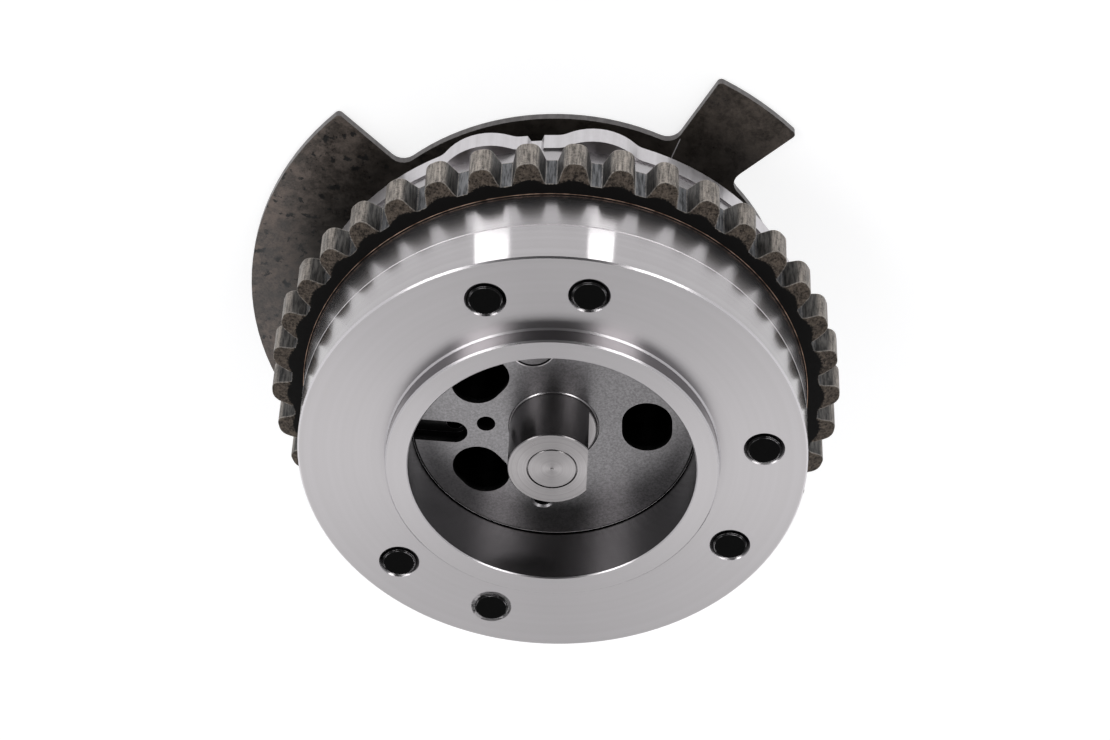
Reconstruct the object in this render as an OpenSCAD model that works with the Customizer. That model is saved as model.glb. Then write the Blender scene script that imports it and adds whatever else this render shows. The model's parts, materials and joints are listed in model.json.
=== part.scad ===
// Vane-type cam phaser: a chain-driven housing that carries a vaned rotor.
// Z is the shaft axis and points to the open front. Z = 0 is the rear seat of the rotor hub.

/* [Housing] */
// Outer radius of the front cover and the stator
housing_r = 45; // [43:0.5:48]
// Thickness of the front cover
front_cover_t = 9.1; // [7:0.1:12]
// Length of the stator, which is also the length of the oil chambers
stator_len = 21.5; // [20:0.5:30]
// Thickness of the rear cover
rear_cover_t = 3.8; // [3:0.1:6]
// Wall between the oil chambers and the outside
chamber_wall = 4.5; // [3.5:0.1:5]
// Chamfer on the outer edges of the housing
edge_chamfer = 0.3; // [0.2:0.1:1]
// Small chamfer on each side of the seam between front cover and stator
seam_chamfer = 0.15; // [0.1:0.05:0.4]

/* [Front lip] */
// Radius of the bore through the front cover
front_bore_r = 25.4; // [24.8:0.1:26]
// Wall of the lip around the bore
lip_t = 4; // [3:0.1:5]
// Height of the lip above the front face
lip_h = 3.3; // [2:0.1:6]
// Chamfer on the outer rim of the lip
lip_chamfer = 0.3; // [0.2:0.05:0.8]
// Chamfer at the foot of the lip
lip_foot = 0.3; // [0.2:0.05:0.6]
// Chamfer on the rim of the bore
bore_chamfer = 0.2; // [0.1:0.05:0.6]

/* [Sprocket] */
// Number of chain teeth
tooth_count = 38; // [36:1:40]
// Width of the tooth ring along the shaft axis
sprocket_w = 6.9; // [5:0.1:9]
// Distance from the rear cover to the tooth ring
sprocket_back = 6.2; // [4:0.1:9]
// Wall of the tooth ring below the tooth gaps
sprocket_wall = 2.3; // [1.8:0.1:3]
// Height of the teeth above the tooth gaps
tooth_h = 3.7; // [3:0.1:4.5]
// Width of a tooth at its tip
tooth_tip_w = 3.5; // [2.6:0.1:3.8]
// Width of a tooth at its root
tooth_root_w = 5.8; // [5:0.1:6.2]
// Rounding of the two tip corners of a tooth
tooth_corner = 1.8; // [0.5:0.1:2]
// Angle of the first tooth
tooth_turn = 88.05; // [0:0.05:360]
// Reach of the front chamfer of the teeth along the radius
tooth_chamfer_w = 2.9; // [1:0.1:3]
// Depth of the front chamfer at the tooth tips
tooth_chamfer_h = 1; // [0.4:0.1:2]

/* [Cover screws] */
// Distance from the outside of the housing to the screws' centres
screw_inset = 7.65; // [7:0.05:8.5]
// Angle of the middle of each pair of screws
pair_turn = [96, 239.4, 348.55];
// Half the angle between the two screws of each pair
pair_half = [13.8, 15.2, 18.25];
// Radius of a screw's thread
screw_r = 3; // [2.5:0.1:3.2]
// Radial play around the screws in the stator and the rear cover
screw_play = 0.25; // [0.1:0.05:0.4]
// Radius of a screw's head
screw_head_r = 5; // [4.5:0.1:6]
// Height of a screw's head
screw_head_h = 5; // [3:0.1:6]
// Chamfer on the rim of a screw's head
screw_head_chamfer = 0.4; // [0.2:0.1:0.8]
// Width across flats of the hexagon socket in a screw's head
screw_socket_w = 5; // [4:0.5:5]
// Depth of the hexagon socket
screw_socket_h = 2.6; // [1.5:0.1:2.8]
// Height of a screw's end above the front face
screw_rise = 0.35; // [0.1:0.05:1]
// Chamfer on a screw's end
screw_chamfer = 0.2; // [0.1:0.05:1]
// Chamfer at the mouth of the tapped holes
thread_chamfer = 0.65; // [0.2:0.05:0.8]

/* [Rear cover] */
// Reach of the rear cover past the housing between its lobes
rear_rim = 0.4; // [0.1:0.1:1.5]
// Radius of the lobes around the cover screws
lobe_r = 10.1; // [9.5:0.1:10.6]
// Fillet at the feet of the lobes
lobe_fillet = 4; // [2:0.1:5]
// Angle of the assembly notch in the rim
notch_turn = 96.8; // [94:0.1:98]
// Width of the assembly notch at the rim
notch_w = 3; // [2:0.1:4]
// Width of the assembly notch at its floor
notch_floor_w = 1.8; // [1:0.1:2.4]
// Depth of the assembly notch
notch_depth = 1.2; // [0.8:0.1:2]

/* [Rotor] */
// Reach of the rotor's hub past the front bore, which it closes between the vanes
hub_land = 3.1; // [2.4:0.1:3.6]
// Radial play between the hub and the stator's webs, and between vane tips and chambers
vane_play = 0.12; // [0.08:0.01:0.2]
// Play between the rotor's flat faces and the covers
face_play = 0.05; // [0.03:0.01:0.1]
// Turn of the rotor each way from the middle of its travel
travel = 18; // [10:0.5:20]
// Angle that stays open between a vane and a web at the end of the travel
stop_gap = 0.6; // [0.3:0.1:1]
// Distance from a screw's centre to the side of its web
web_land = 5.45; // [5:0.05:6]
// Height of the rotor's boss inside the front bore
boss_h = 0.3; // [0.2:0.05:0.8]
// Radial play between the boss and the front bore
boss_play = 0.1; // [0.05:0.01:0.2]
// Chamfer on the rim of the boss
boss_chamfer = 0.3; // [0.15:0.05:0.3]
// Wall of the rear seat outside the camshaft screws
seat_wall = 1.2; // [0.8:0.1:2]
// Width of the step on the rear hub that carries the trigger wheel
wheel_step = 2; // [1.2:0.1:3]
// Radial play of the rear hub in the rear cover
rear_hub_play = 0.05; // [0.03:0.01:0.1]
// Length of the rear hub behind the rear cover
rear_hub_len = 13.1; // [11:0.1:16]
// Radius of the camshaft socket
socket_r = 11; // [10:0.1:11.5]
// Depth of the camshaft socket
socket_depth = 12; // [8:0.5:13]
// Chamfer at the mouth of the camshaft socket
socket_chamfer = 0.3; // [0.2:0.05:0.4]
// Chamfer on the rim of the rear seat
seat_chamfer = 0.3; // [0.1:0.05:0.3]
// Angle of the dowel hole in the rear seat
dowel_turn = 78; // [60:1:100]
// Radius of the dowel hole
dowel_r = 2; // [1.5:0.1:2.5]
// Depth of the dowel hole
dowel_depth = 6; // [4:0.5:10]
// Angles of the two oil ports in the rear seat
port_turn = [40, 292];
// Radius of an oil port
port_r = 1.6; // [1.2:0.1:2]
// Depth of the oil ports
port_depth = 10; // [6:0.5:12]

/* [Rotor face] */
// Radius of the circle on which the three pockets lie
pocket_circle_r = 16.6; // [16.2:0.1:16.9]
// Angles of the pockets
pocket_turn = [3, 143.2, 220.3];
// Width of a pocket along the radius
pocket_w = 9; // [8:0.1:9.4]
// Length of a pocket around the circle
pocket_l = 11.1; // [10:0.1:11.6]
// Depth of a pocket below the rotor's face
pocket_depth = 16; // [12:0.5:17]
// Radius of the screw hole below each pocket
cam_screw_r = 3.3; // [2.8:0.1:3.4]
// Width of the vent slot
slot_w = 4.8; // [3.5:0.1:5]
// Distance from the shaft axis to the slot's inner end
slot_reach = 15.3; // [14.8:0.1:16.5]
// Sideways place of the slot and the lock pin
slot_side = -2; // [-2.6:0.1:-1.5]
// Sideways shift of the slot's inner end
slot_drop = 0.3; // [0:0.05:0.5]
// Slant of the slot in degrees
slot_slant = 2.5; // [0:0.5:4]
// Depth of the slot below the rotor's face
slot_depth = 2.8; // [1.5:0.1:4]
// Radius of the drilling in the slot's inner end
slot_hole_r = 1.5; // [1.2:0.1:2]
// Radius of the small oil hole beside the slot
oil_hole_r = 1.67; // [1.2:0.05:2]
// Distance from the shaft axis to the small oil hole
oil_hole_reach = 12.06; // [11.4:0.02:12.6]
// Depth of the small holes in the rotor's face
face_hole_depth = 9; // [5:0.5:12]
// Place of the small chamfered hole
index_hole_at = [-1.35, -17.05];
// Radius of the small chamfered hole
index_hole_r = 1.85; // [1.2:0.05:2]
// Chamfer of the small chamfered hole
index_chamfer = 0.35; // [0.2:0.05:0.8]
// Place of the pressed disc
disc_at = [-4.3, 17.55];
// Radius of the pressed disc
disc_r = 3.8; // [3:0.1:4]
// Thickness of the pressed disc
disc_t = 3; // [2:0.1:5]
// Depth of the pressed disc below the rotor's face
disc_recess = 0.12; // [0.05:0.01:0.3]

/* [Centre shaft] */
// Radius of the centre shaft
shaft_r = 7.85; // [7.2:0.05:8.5]
// Height of the shaft's end above the front face
shaft_rise = 2.7; // [1:0.1:4]
// Depth of the flat on the shaft
flat_cut = 1.68; // [1.2:0.02:2.2]
// Height of the round shoulder below the flat
flat_shoulder = 0.9; // [0.5:0.1:2]
// Rounding on the rim of the round shoulder
shoulder_round = 0.6; // [0.3:0.05:0.7]
// Width of the collar on the shaft at the rotor's face
collar_w = 0.2; // [0.15:0.05:0.4]
// Height of the collar above the rotor's face
collar_rise = 0.1; // [0.05:0.05:0.15]
// Depth of the collar's seat in the rotor's face
collar_depth = 0.5; // [0.3:0.1:1]
// Chamfer on the collar's rim
collar_chamfer = 0.15; // [0.05:0.05:0.15]
// Gap around the collar where the shaft leaves the rotor
shaft_mouth = 0.13; // [0.05:0.01:0.3]
// Chamfer on the shaft's end
shaft_chamfer = 0.15; // [0.1:0.05:0.4]
// Radius of the plug in the shaft's end
plug_r = 4.3; // [3.5:0.1:5]
// Length of the plug
plug_len = 6; // [4:0.5:10]
// Chamfer on the plug's rim
plug_chamfer = 0.1; // [0.05:0.05:0.3]
// Width of the groove around the plug
plug_groove = 0.22; // [0.1:0.02:0.4]
// Depth of the groove around the plug
plug_groove_depth = 0.8; // [0.4:0.1:2]
// Radius of the centre mark in the plug
centre_mark_r = 0.3; // [0.2:0.1:1]

/* [Trigger wheel] */
// Thickness of the trigger wheel
wheel_t = 1.4; // [1:0.1:2]
// Radius at the tips of the wheel's tabs
wheel_tip_r = 57; // [54:0.1:60]
// Radius of the wheel between its tabs
wheel_base_r = 40.9; // [38:0.1:44]
// Height of the wheel above the rear seat
wheel_lift = 0.5; // [0.3:0.1:2]
// Angle at which each tab begins
tab_turn = [43.9, 135.8, 224, 315];
// Angle that each tab spans
tab_span = [18.2, 70.7, 70.7, 14];
// Rounding of the tabs' outer corners
tab_corner = 0.8; // [0.5:0.1:3]
// Fillet at the foot of the tabs
tab_fillet = 2.7; // [1:0.1:4]

/* [Seals] */
// Width of the seal slots
seal_w = 3; // [2.4:0.1:3.4]
// Height of a seal bar
seal_h = 3.6; // [3:0.1:4]
// Room for the leaf spring behind a seal bar
leaf_room = 0.8; // [0.7:0.05:1.2]
// Thickness of a leaf spring
leaf_t = 0.3; // [0.2:0.05:0.4]
// Free length of the slot at each end of a leaf spring
leaf_end = 2.1; // [1:0.1:4]
// Play at a seal's sides and tip
seal_play = 0.05; // [0.03:0.01:0.08]

/* [Lock pin] */
// Distance from the outside of the oil chambers to the lock pin's centre
pin_inset = 7.1; // [6.5:0.1:7.5]
// Radius of the lock pin
pin_r = 4; // [3.6:0.1:4.2]
// Radial play of the lock pin in the rotor
pin_play = 0.05; // [0.03:0.01:0.08]
// Length of the lock pin
pin_len = 12; // [10:0.5:13]
// Radius of the lock pin's nose
nose_r = 3.2; // [2.8:0.1:3.4]
// Length of the lock pin's nose
nose_len = 2.4; // [1.5:0.1:3]
// Wall between the spring's hole and the pin's end
pin_floor = 4; // [3:0.5:5]
// Radius of the spring's hole in the pin
spring_hole_r = 2.9; // [2.6:0.1:3]
// Thickness of the cap that holds the spring
cap_t = 2.6; // [2:0.1:3]
// Radius of the vent through the cap
cap_vent_r = 0.9; // [0.6:0.1:1.2]
// Radius of the spring's wire
wire_r = 0.4; // [0.3:0.05:0.5]
// Number of turns of the spring
spring_turns = 5; // [4:1:6]
// Outer radius of the seat ring in the rear cover
seat_r = 5.4; // [5:0.1:6]
// Play between the lock pin's nose and the seat ring
seat_play = 0.15; // [0.1:0.05:0.3]

/* [Hidden] */
$fn = 96;
eps = 0.01;
// Far enough to lie outside the part
big = 4 * housing_r;
// How far a cut runs on past the face that it opens
past = 1;
// Steps of the computed outlines, in degrees
rim_step = 3;
lobe_step = 7;
corner_step = 18;

// Heights of the layers, from the rear seat to the front
cover_back_z = rear_hub_len;
cover_front_z = cover_back_z + rear_cover_t;
stator_front_z = cover_front_z + stator_len;
face_z = stator_front_z + front_cover_t;
lip_z = face_z + lip_h;
sprocket_z = cover_front_z + sprocket_back;
rotor_back_z = cover_front_z + face_play;
rotor_front_z = stator_front_z - face_play;
rotor_len = rotor_front_z - rotor_back_z;
boss_z = stator_front_z + boss_h;
wheel_front_z = wheel_lift + wheel_t;
shaft_end_z = face_z + shaft_rise;
slot_floor_z = boss_z - slot_depth;
slot_end = [-slot_reach - slot_w / 2, slot_side - slot_drop];

// Radii that follow from the housing, the bore and the camshaft screws
chamber_r = housing_r - chamber_wall;
screw_circle_r = housing_r - screw_inset;
tooth_root_r = housing_r + sprocket_wall;
tooth_tip_r = tooth_root_r + tooth_h;
rear_cover_r = housing_r + rear_rim;
lip_r = front_bore_r + lip_t;
hub_r = front_bore_r + hub_land;
wheel_bore_r = pocket_circle_r + cam_screw_r + seat_wall;
rear_hub_r = wheel_bore_r + wheel_step;

// Angles of the screws, webs, chambers and vanes
pairs = [0 : len(pair_turn) - 1];
screw_turn = [for (i = pairs, side = [-1, 1]) pair_turn[i] + side * pair_half[i]];
web_margin = asin(web_land / screw_circle_r);
chamber_from = [for (i = pairs) pair_turn[i] + pair_half[i] + web_margin];
next_pair = [for (i = pairs) (i + 1) % len(pair_turn)];
next_turn = [for (i = next_pair) pair_turn[i] + (i == 0 ? 360 : 0)];
chamber_to = [for (i = pairs) next_turn[i] - pair_half[next_pair[i]] - web_margin];
vane_from = [for (i = pairs) chamber_from[i] + travel + stop_gap];
vane_to = [for (i = pairs) chamber_to[i] - travel - stop_gap];
vane_turn = [for (i = pairs) (vane_from[i] + vane_to[i]) / 2];

// Radii that follow from the fits
web_r = hub_r + vane_play;
vane_r = chamber_r - vane_play;
vane_seal_r = chamber_r - seal_play;
web_seal_r = hub_r + seal_play;
vane_slot_r = vane_seal_r - seal_h - leaf_room;
web_slot_r = web_seal_r + seal_h + leaf_room;
leaf_len = rotor_len - 2 * leaf_end;
leaf_bow = leaf_room - leaf_t - seal_play;
leaf_r = (leaf_len * leaf_len / 4 + leaf_bow * leaf_bow) / (2 * leaf_bow);
seal_len = rotor_len - 2 * face_play;

// Places along the lock pin
pin_reach = chamber_r - pin_inset;
pin_at = [-pin_reach, slot_side];
pin_hole_r = pin_r + pin_play;
cap_z = slot_floor_z - cap_t;
spring_from_z = rotor_back_z + pin_floor;
spring_len = cap_z - spring_from_z;
coil_r = spring_hole_r - wire_r - 2 * pin_play;
coil_steps = 16;
wire_sides = 6;

// A point at a radius and an angle
function polar(r, turn) = r * [cos(turn), sin(turn)];

// Points along an arc, with both its ends
function arc_points(centre, r, from, to, step) =
    let (n = ceil(abs(to - from) / step))
    [for (i = [0 : n]) centre + polar(r, from + (to - from) * i / n)];

// Points along an arc around the axis, without its ends
function rim_points(r, from, to) =
    let (n = ceil((to - from) / rim_step))
    [for (i = [1 : 1 : n - 1]) polar(r, from + (to - from) * i / n)];

// A slice of a disc between two angles, less than half a turn apart
module sector(r, from, to) {
    mid = (from + to) / 2;
    intersection() {
        circle(r);
        polygon([[0, 0], polar(big, from), polar(big, mid), polar(big, to)]);
    }
}

// Places its children at every cover screw
module at_screws() {
    for (turn = screw_turn)
        rotate(turn) translate([screw_circle_r, 0, 0]) children();
}

module front_cover() {
    color("silver")
    difference() {
        translate([0, 0, stator_front_z]) rotate_extrude() polygon([
            [front_bore_r, 0],
            [housing_r - seam_chamfer, 0],
            [housing_r, seam_chamfer],
            [housing_r, front_cover_t - edge_chamfer],
            [housing_r - edge_chamfer, front_cover_t],
            [lip_r + lip_foot, front_cover_t],
            [lip_r, front_cover_t + lip_foot],
            [lip_r, front_cover_t + lip_h - lip_chamfer],
            [lip_r - lip_chamfer, front_cover_t + lip_h],
            [front_bore_r + bore_chamfer, front_cover_t + lip_h],
            [front_bore_r, front_cover_t + lip_h - bore_chamfer]
        ]);
        at_screws() tapped_hole();
    }
}

// A tapped hole through the front cover, with a chamfered mouth
module tapped_hole() {
    translate([0, 0, stator_front_z - eps]) cylinder(r = screw_r, h = front_cover_t + 2 * eps);
    translate([0, 0, face_z - thread_chamfer])
        cylinder(r1 = screw_r, r2 = screw_r + thread_chamfer, h = thread_chamfer);
}

module stator() {
    color("lightgray")
    difference() {
        translate([0, 0, cover_front_z]) rotate_extrude() polygon([
            [web_r, 0],
            [housing_r - seam_chamfer, 0],
            [housing_r, seam_chamfer],
            [housing_r, stator_len - seam_chamfer],
            [housing_r - seam_chamfer, stator_len],
            [web_r, stator_len]
        ]);
        translate([0, 0, cover_front_z - eps]) linear_extrude(stator_len + 2 * eps) {
            for (i = pairs) {
                sector(chamber_r, chamber_from[i], chamber_to[i]);
                rotate(pair_turn[i]) translate([0, -seal_w / 2]) square([web_slot_r, seal_w]);
            }
            at_screws() circle(screw_r + screw_play);
        }
    }
}

// The outline of one tooth, with straight flanks and rounded tip corners
function tooth_points(turn) =
    let (
        root = asin(tooth_root_w / 2 / tooth_root_r),
        lean = atan2((tooth_root_w - tooth_tip_w) / 2, tooth_h),
        corner_x = tooth_tip_r - tooth_corner,
        corner_y = tooth_tip_w / 2 - tooth_corner * (1 - sin(lean)) / cos(lean),
        corner_turn = atan2(corner_y, corner_x),
        corner_at = norm([corner_x, corner_y])
    )
    concat(
        [polar(tooth_root_r, turn - root)],
        arc_points(polar(corner_at, turn - corner_turn), tooth_corner, turn + lean - 90, turn, corner_step),
        arc_points(polar(corner_at, turn + corner_turn), tooth_corner, turn, turn + 90 - lean, corner_step),
        [polar(tooth_root_r, turn + root)]
    );

module sprocket() {
    past_tip_r = tooth_tip_r + past;
    chamfer_from_r = tooth_tip_r - tooth_chamfer_w;
    chamfer_slope = tooth_chamfer_h / tooth_chamfer_w;
    color([0.23, 0.2, 0.18])
    translate([0, 0, sprocket_z])
    difference() {
        intersection() {
            linear_extrude(sprocket_w) polygon([
                for (i = [0 : tooth_count - 1])
                    each tooth_points(tooth_turn + i * 360 / tooth_count)
            ]);
            rotate_extrude() polygon([
                [0, -eps],
                [past_tip_r, -eps],
                [past_tip_r, sprocket_w - chamfer_slope * (past_tip_r - chamfer_from_r)],
                [chamfer_from_r, sprocket_w],
                [0, sprocket_w]
            ]);
        }
        translate([0, 0, -eps]) cylinder(r = housing_r, h = sprocket_w + 2 * eps);
    }
}

// The outline of one lobe with its two fillets, then the rim to the next lobe
function lobe_points(turn, next) =
    let (
        fillet_at = rear_cover_r + lobe_fillet,
        reach = lobe_r + lobe_fillet,
        // The triangle of the axis, the screw and the fillet's centre
        fillet = acos((screw_circle_r ^ 2 + fillet_at ^ 2 - reach ^ 2) / (2 * screw_circle_r * fillet_at)),
        bend = acos((fillet_at ^ 2 + reach ^ 2 - screw_circle_r ^ 2) / (2 * fillet_at * reach)),
        first = turn - fillet + 180,
        last = turn + fillet + 180
    )
    concat(
        arc_points(polar(fillet_at, turn - fillet), lobe_fillet, first, first - bend, lobe_step),
        arc_points(polar(screw_circle_r, turn), lobe_r,
            turn - fillet - bend + lobe_step, turn + fillet + bend - lobe_step, lobe_step),
        arc_points(polar(fillet_at, turn + fillet), lobe_fillet, last + bend, last, lobe_step),
        rim_points(rear_cover_r, turn + fillet, next - fillet)
    );

module rear_cover() {
    last = len(screw_turn) - 1;
    color("gainsboro")
    translate([0, 0, cover_back_z]) linear_extrude(rear_cover_t) difference() {
        polygon([for (i = [0 : last])
            each lobe_points(screw_turn[i], i == last ? screw_turn[0] + 360 : screw_turn[i + 1])]);
        circle(rear_hub_r + rear_hub_play);
        at_screws() circle(screw_r + screw_play);
        rotate(notch_turn) polygon([
            [rear_cover_r - notch_depth, -notch_floor_w / 2],
            [rear_cover_r, -notch_w / 2],
            [rear_cover_r + past, -notch_w / 2],
            [rear_cover_r + past, notch_w / 2],
            [rear_cover_r, notch_w / 2],
            [rear_cover_r - notch_depth, notch_floor_w / 2]
        ]);
        translate(pin_at) circle(seat_r);
    }
}

// One cover screw, put in from the rear
module cover_screw() {
    head_z = cover_back_z - screw_head_h;
    end_z = face_z + screw_rise;
    difference() {
        rotate_extrude() polygon([
            [0, head_z],
            [screw_head_r - screw_head_chamfer, head_z],
            [screw_head_r, head_z + screw_head_chamfer],
            [screw_head_r, cover_back_z],
            [screw_r, cover_back_z],
            [screw_r, end_z - screw_chamfer],
            [screw_r - screw_chamfer, end_z],
            [0, end_z]
        ]);
        translate([0, 0, head_z - eps])
            cylinder(r = screw_socket_w / sqrt(3), h = screw_socket_h + eps, $fn = 6);
    }
}

module cover_screws() {
    color([0.08, 0.08, 0.09]) at_screws() cover_screw();
}

module lock_seat() {
    color("darkgray")
    translate([pin_at[0], pin_at[1], cover_back_z]) difference() {
        cylinder(r = seat_r, h = rear_cover_t);
        translate([0, 0, -eps]) cylinder(r = nose_r + seat_play, h = rear_cover_t + 2 * eps);
    }
}

// A seal bar that slides outwards in a vane
module vane_seal(i) {
    side = seal_w / 2 - seal_play;
    color([0.15, 0.14, 0.13])
    translate([0, 0, rotor_back_z + face_play]) linear_extrude(seal_len) rotate(vane_turn[i])
        intersection() {
            translate([vane_seal_r - seal_h, -side]) square([seal_h + past, 2 * side]);
            circle(vane_seal_r);
        }
}

// A seal bar that slides inwards in a web of the stator
module web_seal(i) {
    side = seal_w / 2 - seal_play;
    color([0.15, 0.14, 0.13])
    translate([0, 0, rotor_back_z + face_play]) linear_extrude(seal_len) rotate(pair_turn[i])
        difference() {
            translate([web_seal_r - past, -side]) square([seal_h + past, 2 * side]);
            circle(web_seal_r);
        }
}

// A bowed leaf spring that stands on the plane x = 0 and bulges towards +X
module leaf_spring() {
    half = leaf_len / 2;
    width = seal_w - 4 * seal_play;
    centre_x = leaf_bow - leaf_r;
    rotate([90, 0, 0]) linear_extrude(width, center = true) intersection() {
        difference() {
            translate([centre_x, 0]) circle(leaf_r + leaf_t, $fn = 400);
            translate([centre_x, 0]) circle(leaf_r, $fn = 400);
        }
        translate([0, -half]) square([2 * leaf_room, 2 * half]);
    }
}

module vane_seal_spring(i) {
    color("dimgray")
    rotate(vane_turn[i])
        translate([vane_slot_r, 0, (rotor_back_z + rotor_front_z) / 2]) leaf_spring();
}

module web_seal_spring(i) {
    color("dimgray")
    rotate(pair_turn[i])
        translate([web_slot_r, 0, (rotor_back_z + rotor_front_z) / 2]) rotate(180) leaf_spring();
}

// The cross-section of the hub with its three vanes and their seal slots
module rotor_section() {
    difference() {
        union() {
            circle(hub_r);
            for (i = pairs) sector(vane_r, vane_from[i], vane_to[i]);
        }
        for (i = pairs)
            rotate(vane_turn[i]) translate([vane_slot_r, -seal_w / 2]) square([chamber_r, seal_w]);
    }
}

// A pocket with round ends, long around the circle
module pocket_shape() {
    shift = (pocket_l - pocket_w) / 2;
    for (side = [-1, 1]) translate([pocket_circle_r, side * shift]) circle(pocket_w / 2);
    translate([pocket_circle_r - pocket_w / 2, -shift]) square([pocket_w, 2 * shift]);
}

// The holes in the rotor's front face
module face_holes() {
    depth_z = boss_z - face_hole_depth;
    above = face_hole_depth + past;
    translate([-oil_hole_reach, 0, depth_z]) cylinder(r = oil_hole_r, h = above);
    translate([slot_end[0], slot_end[1], depth_z]) cylinder(r = slot_hole_r, h = above);
    translate([index_hole_at[0], index_hole_at[1], depth_z]) cylinder(r = index_hole_r, h = above);
    translate([index_hole_at[0], index_hole_at[1], boss_z - index_chamfer])
        cylinder(r1 = index_hole_r, r2 = index_hole_r + index_chamfer + eps, h = index_chamfer + eps);
    translate([disc_at[0], disc_at[1], boss_z - disc_recess - disc_t])
        cylinder(r = disc_r, h = disc_t + past);
    for (turn = pocket_turn) rotate(turn) {
        translate([0, 0, boss_z - pocket_depth]) linear_extrude(pocket_depth + past) pocket_shape();
        translate([pocket_circle_r, 0, -eps]) cylinder(r = cam_screw_r, h = boss_z);
    }
    slot_run = pin_reach + slot_end[0];
    translate([slot_end[0], slot_end[1], slot_floor_z]) linear_extrude(slot_depth + past)
        rotate(-slot_slant) {
            circle(slot_w / 2);
            translate([-slot_run, -slot_w / 2]) square([slot_run, slot_w]);
        }
}

// The holes in the rear seat of the hub
module seat_holes() {
    translate([0, 0, -eps]) cylinder(r = socket_r, h = socket_depth + eps);
    translate([0, 0, -eps])
        cylinder(r1 = socket_r + socket_chamfer + eps, r2 = socket_r, h = socket_chamfer + eps);
    rotate(dowel_turn) translate([pocket_circle_r, 0, -eps]) cylinder(r = dowel_r, h = dowel_depth + eps);
    for (turn = port_turn)
        rotate(turn) translate([pocket_circle_r, 0, -eps]) cylinder(r = port_r, h = port_depth + eps);
}

module rotor() {
    boss_r = front_bore_r - boss_play;
    color("gray")
    difference() {
        union() {
            translate([0, 0, rotor_back_z]) linear_extrude(rotor_len) rotor_section();
            rotate_extrude() polygon([
                [0, 0],
                [wheel_bore_r - seat_chamfer, 0],
                [wheel_bore_r, seat_chamfer],
                [wheel_bore_r, wheel_front_z],
                [rear_hub_r, wheel_front_z],
                [rear_hub_r, rotor_back_z + past],
                [boss_r, rotor_back_z + past],
                [boss_r, boss_z - boss_chamfer],
                [boss_r - boss_chamfer, boss_z],
                [0, boss_z]
            ]);
        }
        seat_holes();
        cylinder(r = shaft_r, h = boss_z + past);
        translate([0, 0, boss_z - collar_depth])
            cylinder(r = shaft_r + collar_w + shaft_mouth, h = collar_depth + past);
        face_holes();
        translate([pin_at[0], pin_at[1], rotor_back_z - past])
            cylinder(r = pin_hole_r, h = rotor_len + 2 * past);
    }
}

module centre_shaft() {
    flat_z = boss_z + flat_shoulder;
    flat_reach = shaft_r - flat_cut;
    round_at = shaft_r - shoulder_round;
    collar_r = shaft_r + collar_w;
    collar_z = boss_z + collar_rise;
    color("silver")
    difference() {
        rotate_extrude() polygon([
            [0, socket_depth],
            [shaft_r, socket_depth],
            [shaft_r, boss_z - collar_depth],
            [collar_r, boss_z - collar_depth],
            [collar_r, collar_z - collar_chamfer],
            [collar_r - collar_chamfer, collar_z],
            [shaft_r, collar_z],
            [shaft_r, shaft_end_z - shaft_chamfer],
            [shaft_r - shaft_chamfer, shaft_end_z],
            [0, shaft_end_z]
        ]);
        translate([flat_reach, -shaft_r, flat_z])
            cube([shaft_r, 2 * shaft_r, shaft_end_z - flat_z + past]);
        intersection() {
            translate([flat_reach, -big / 2, flat_z - 2 * past]) cube([big, big, 4 * past]);
            translate([0, 0, flat_z - shoulder_round]) rotate_extrude() polygon([
                [round_at, shoulder_round + past],
                for (turn = [90:-corner_step:0])
                    [round_at + shoulder_round * cos(turn), shoulder_round * sin(turn)],
                [shaft_r + past, 0],
                [shaft_r + past, shoulder_round + past]
            ]);
        }
        translate([0, 0, shaft_end_z - plug_len]) cylinder(r = plug_r, h = plug_len + past);
        translate([0, 0, shaft_end_z - plug_groove_depth])
            cylinder(r = plug_r + plug_groove, h = plug_groove_depth + past);
    }
}

module shaft_plug() {
    color("lightgray")
    difference() {
        translate([0, 0, shaft_end_z - plug_len]) rotate_extrude() polygon([
            [0, 0],
            [plug_r, 0],
            [plug_r, plug_len - plug_chamfer],
            [plug_r - plug_chamfer, plug_len],
            [0, plug_len]
        ]);
        translate([0, 0, shaft_end_z - centre_mark_r])
            cylinder(r1 = 0, r2 = centre_mark_r + eps, h = centre_mark_r + eps);
    }
}

module face_disc() {
    color("darkgray")
    translate([disc_at[0], disc_at[1], boss_z - disc_recess - disc_t]) cylinder(r = disc_r, h = disc_t);
}

// The outline of one tab, from its first fillet to its last, then the rim to the next tab
function tab_points(from, to, next) =
    let (
        corner_at = wheel_tip_r - tab_corner,
        corner = asin(tab_corner / corner_at),
        fillet_at = wheel_base_r + tab_fillet,
        fillet = asin(tab_fillet / fillet_at)
    )
    concat(
        arc_points(polar(fillet_at, from - fillet), tab_fillet, from - fillet + 180, from + 90, corner_step),
        arc_points(polar(corner_at, from + corner), tab_corner, from - 90, from + corner, corner_step),
        rim_points(wheel_tip_r, from + corner, to - corner),
        arc_points(polar(corner_at, to - corner), tab_corner, to - corner, to + 90, corner_step),
        arc_points(polar(fillet_at, to + fillet), tab_fillet, to - 90, to + fillet - 180, corner_step),
        rim_points(wheel_base_r, to + fillet, next - fillet)
    );

module trigger_wheel() {
    last = len(tab_turn) - 1;
    color([0.2, 0.17, 0.14])
    translate([0, 0, wheel_lift]) linear_extrude(wheel_t) difference() {
        polygon([for (i = [0 : last])
            each tab_points(
                tab_turn[i],
                tab_turn[i] + tab_span[i],
                i == last ? tab_turn[0] + 360 : tab_turn[i + 1]
            )]);
        circle(wheel_bore_r);
    }
}

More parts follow.
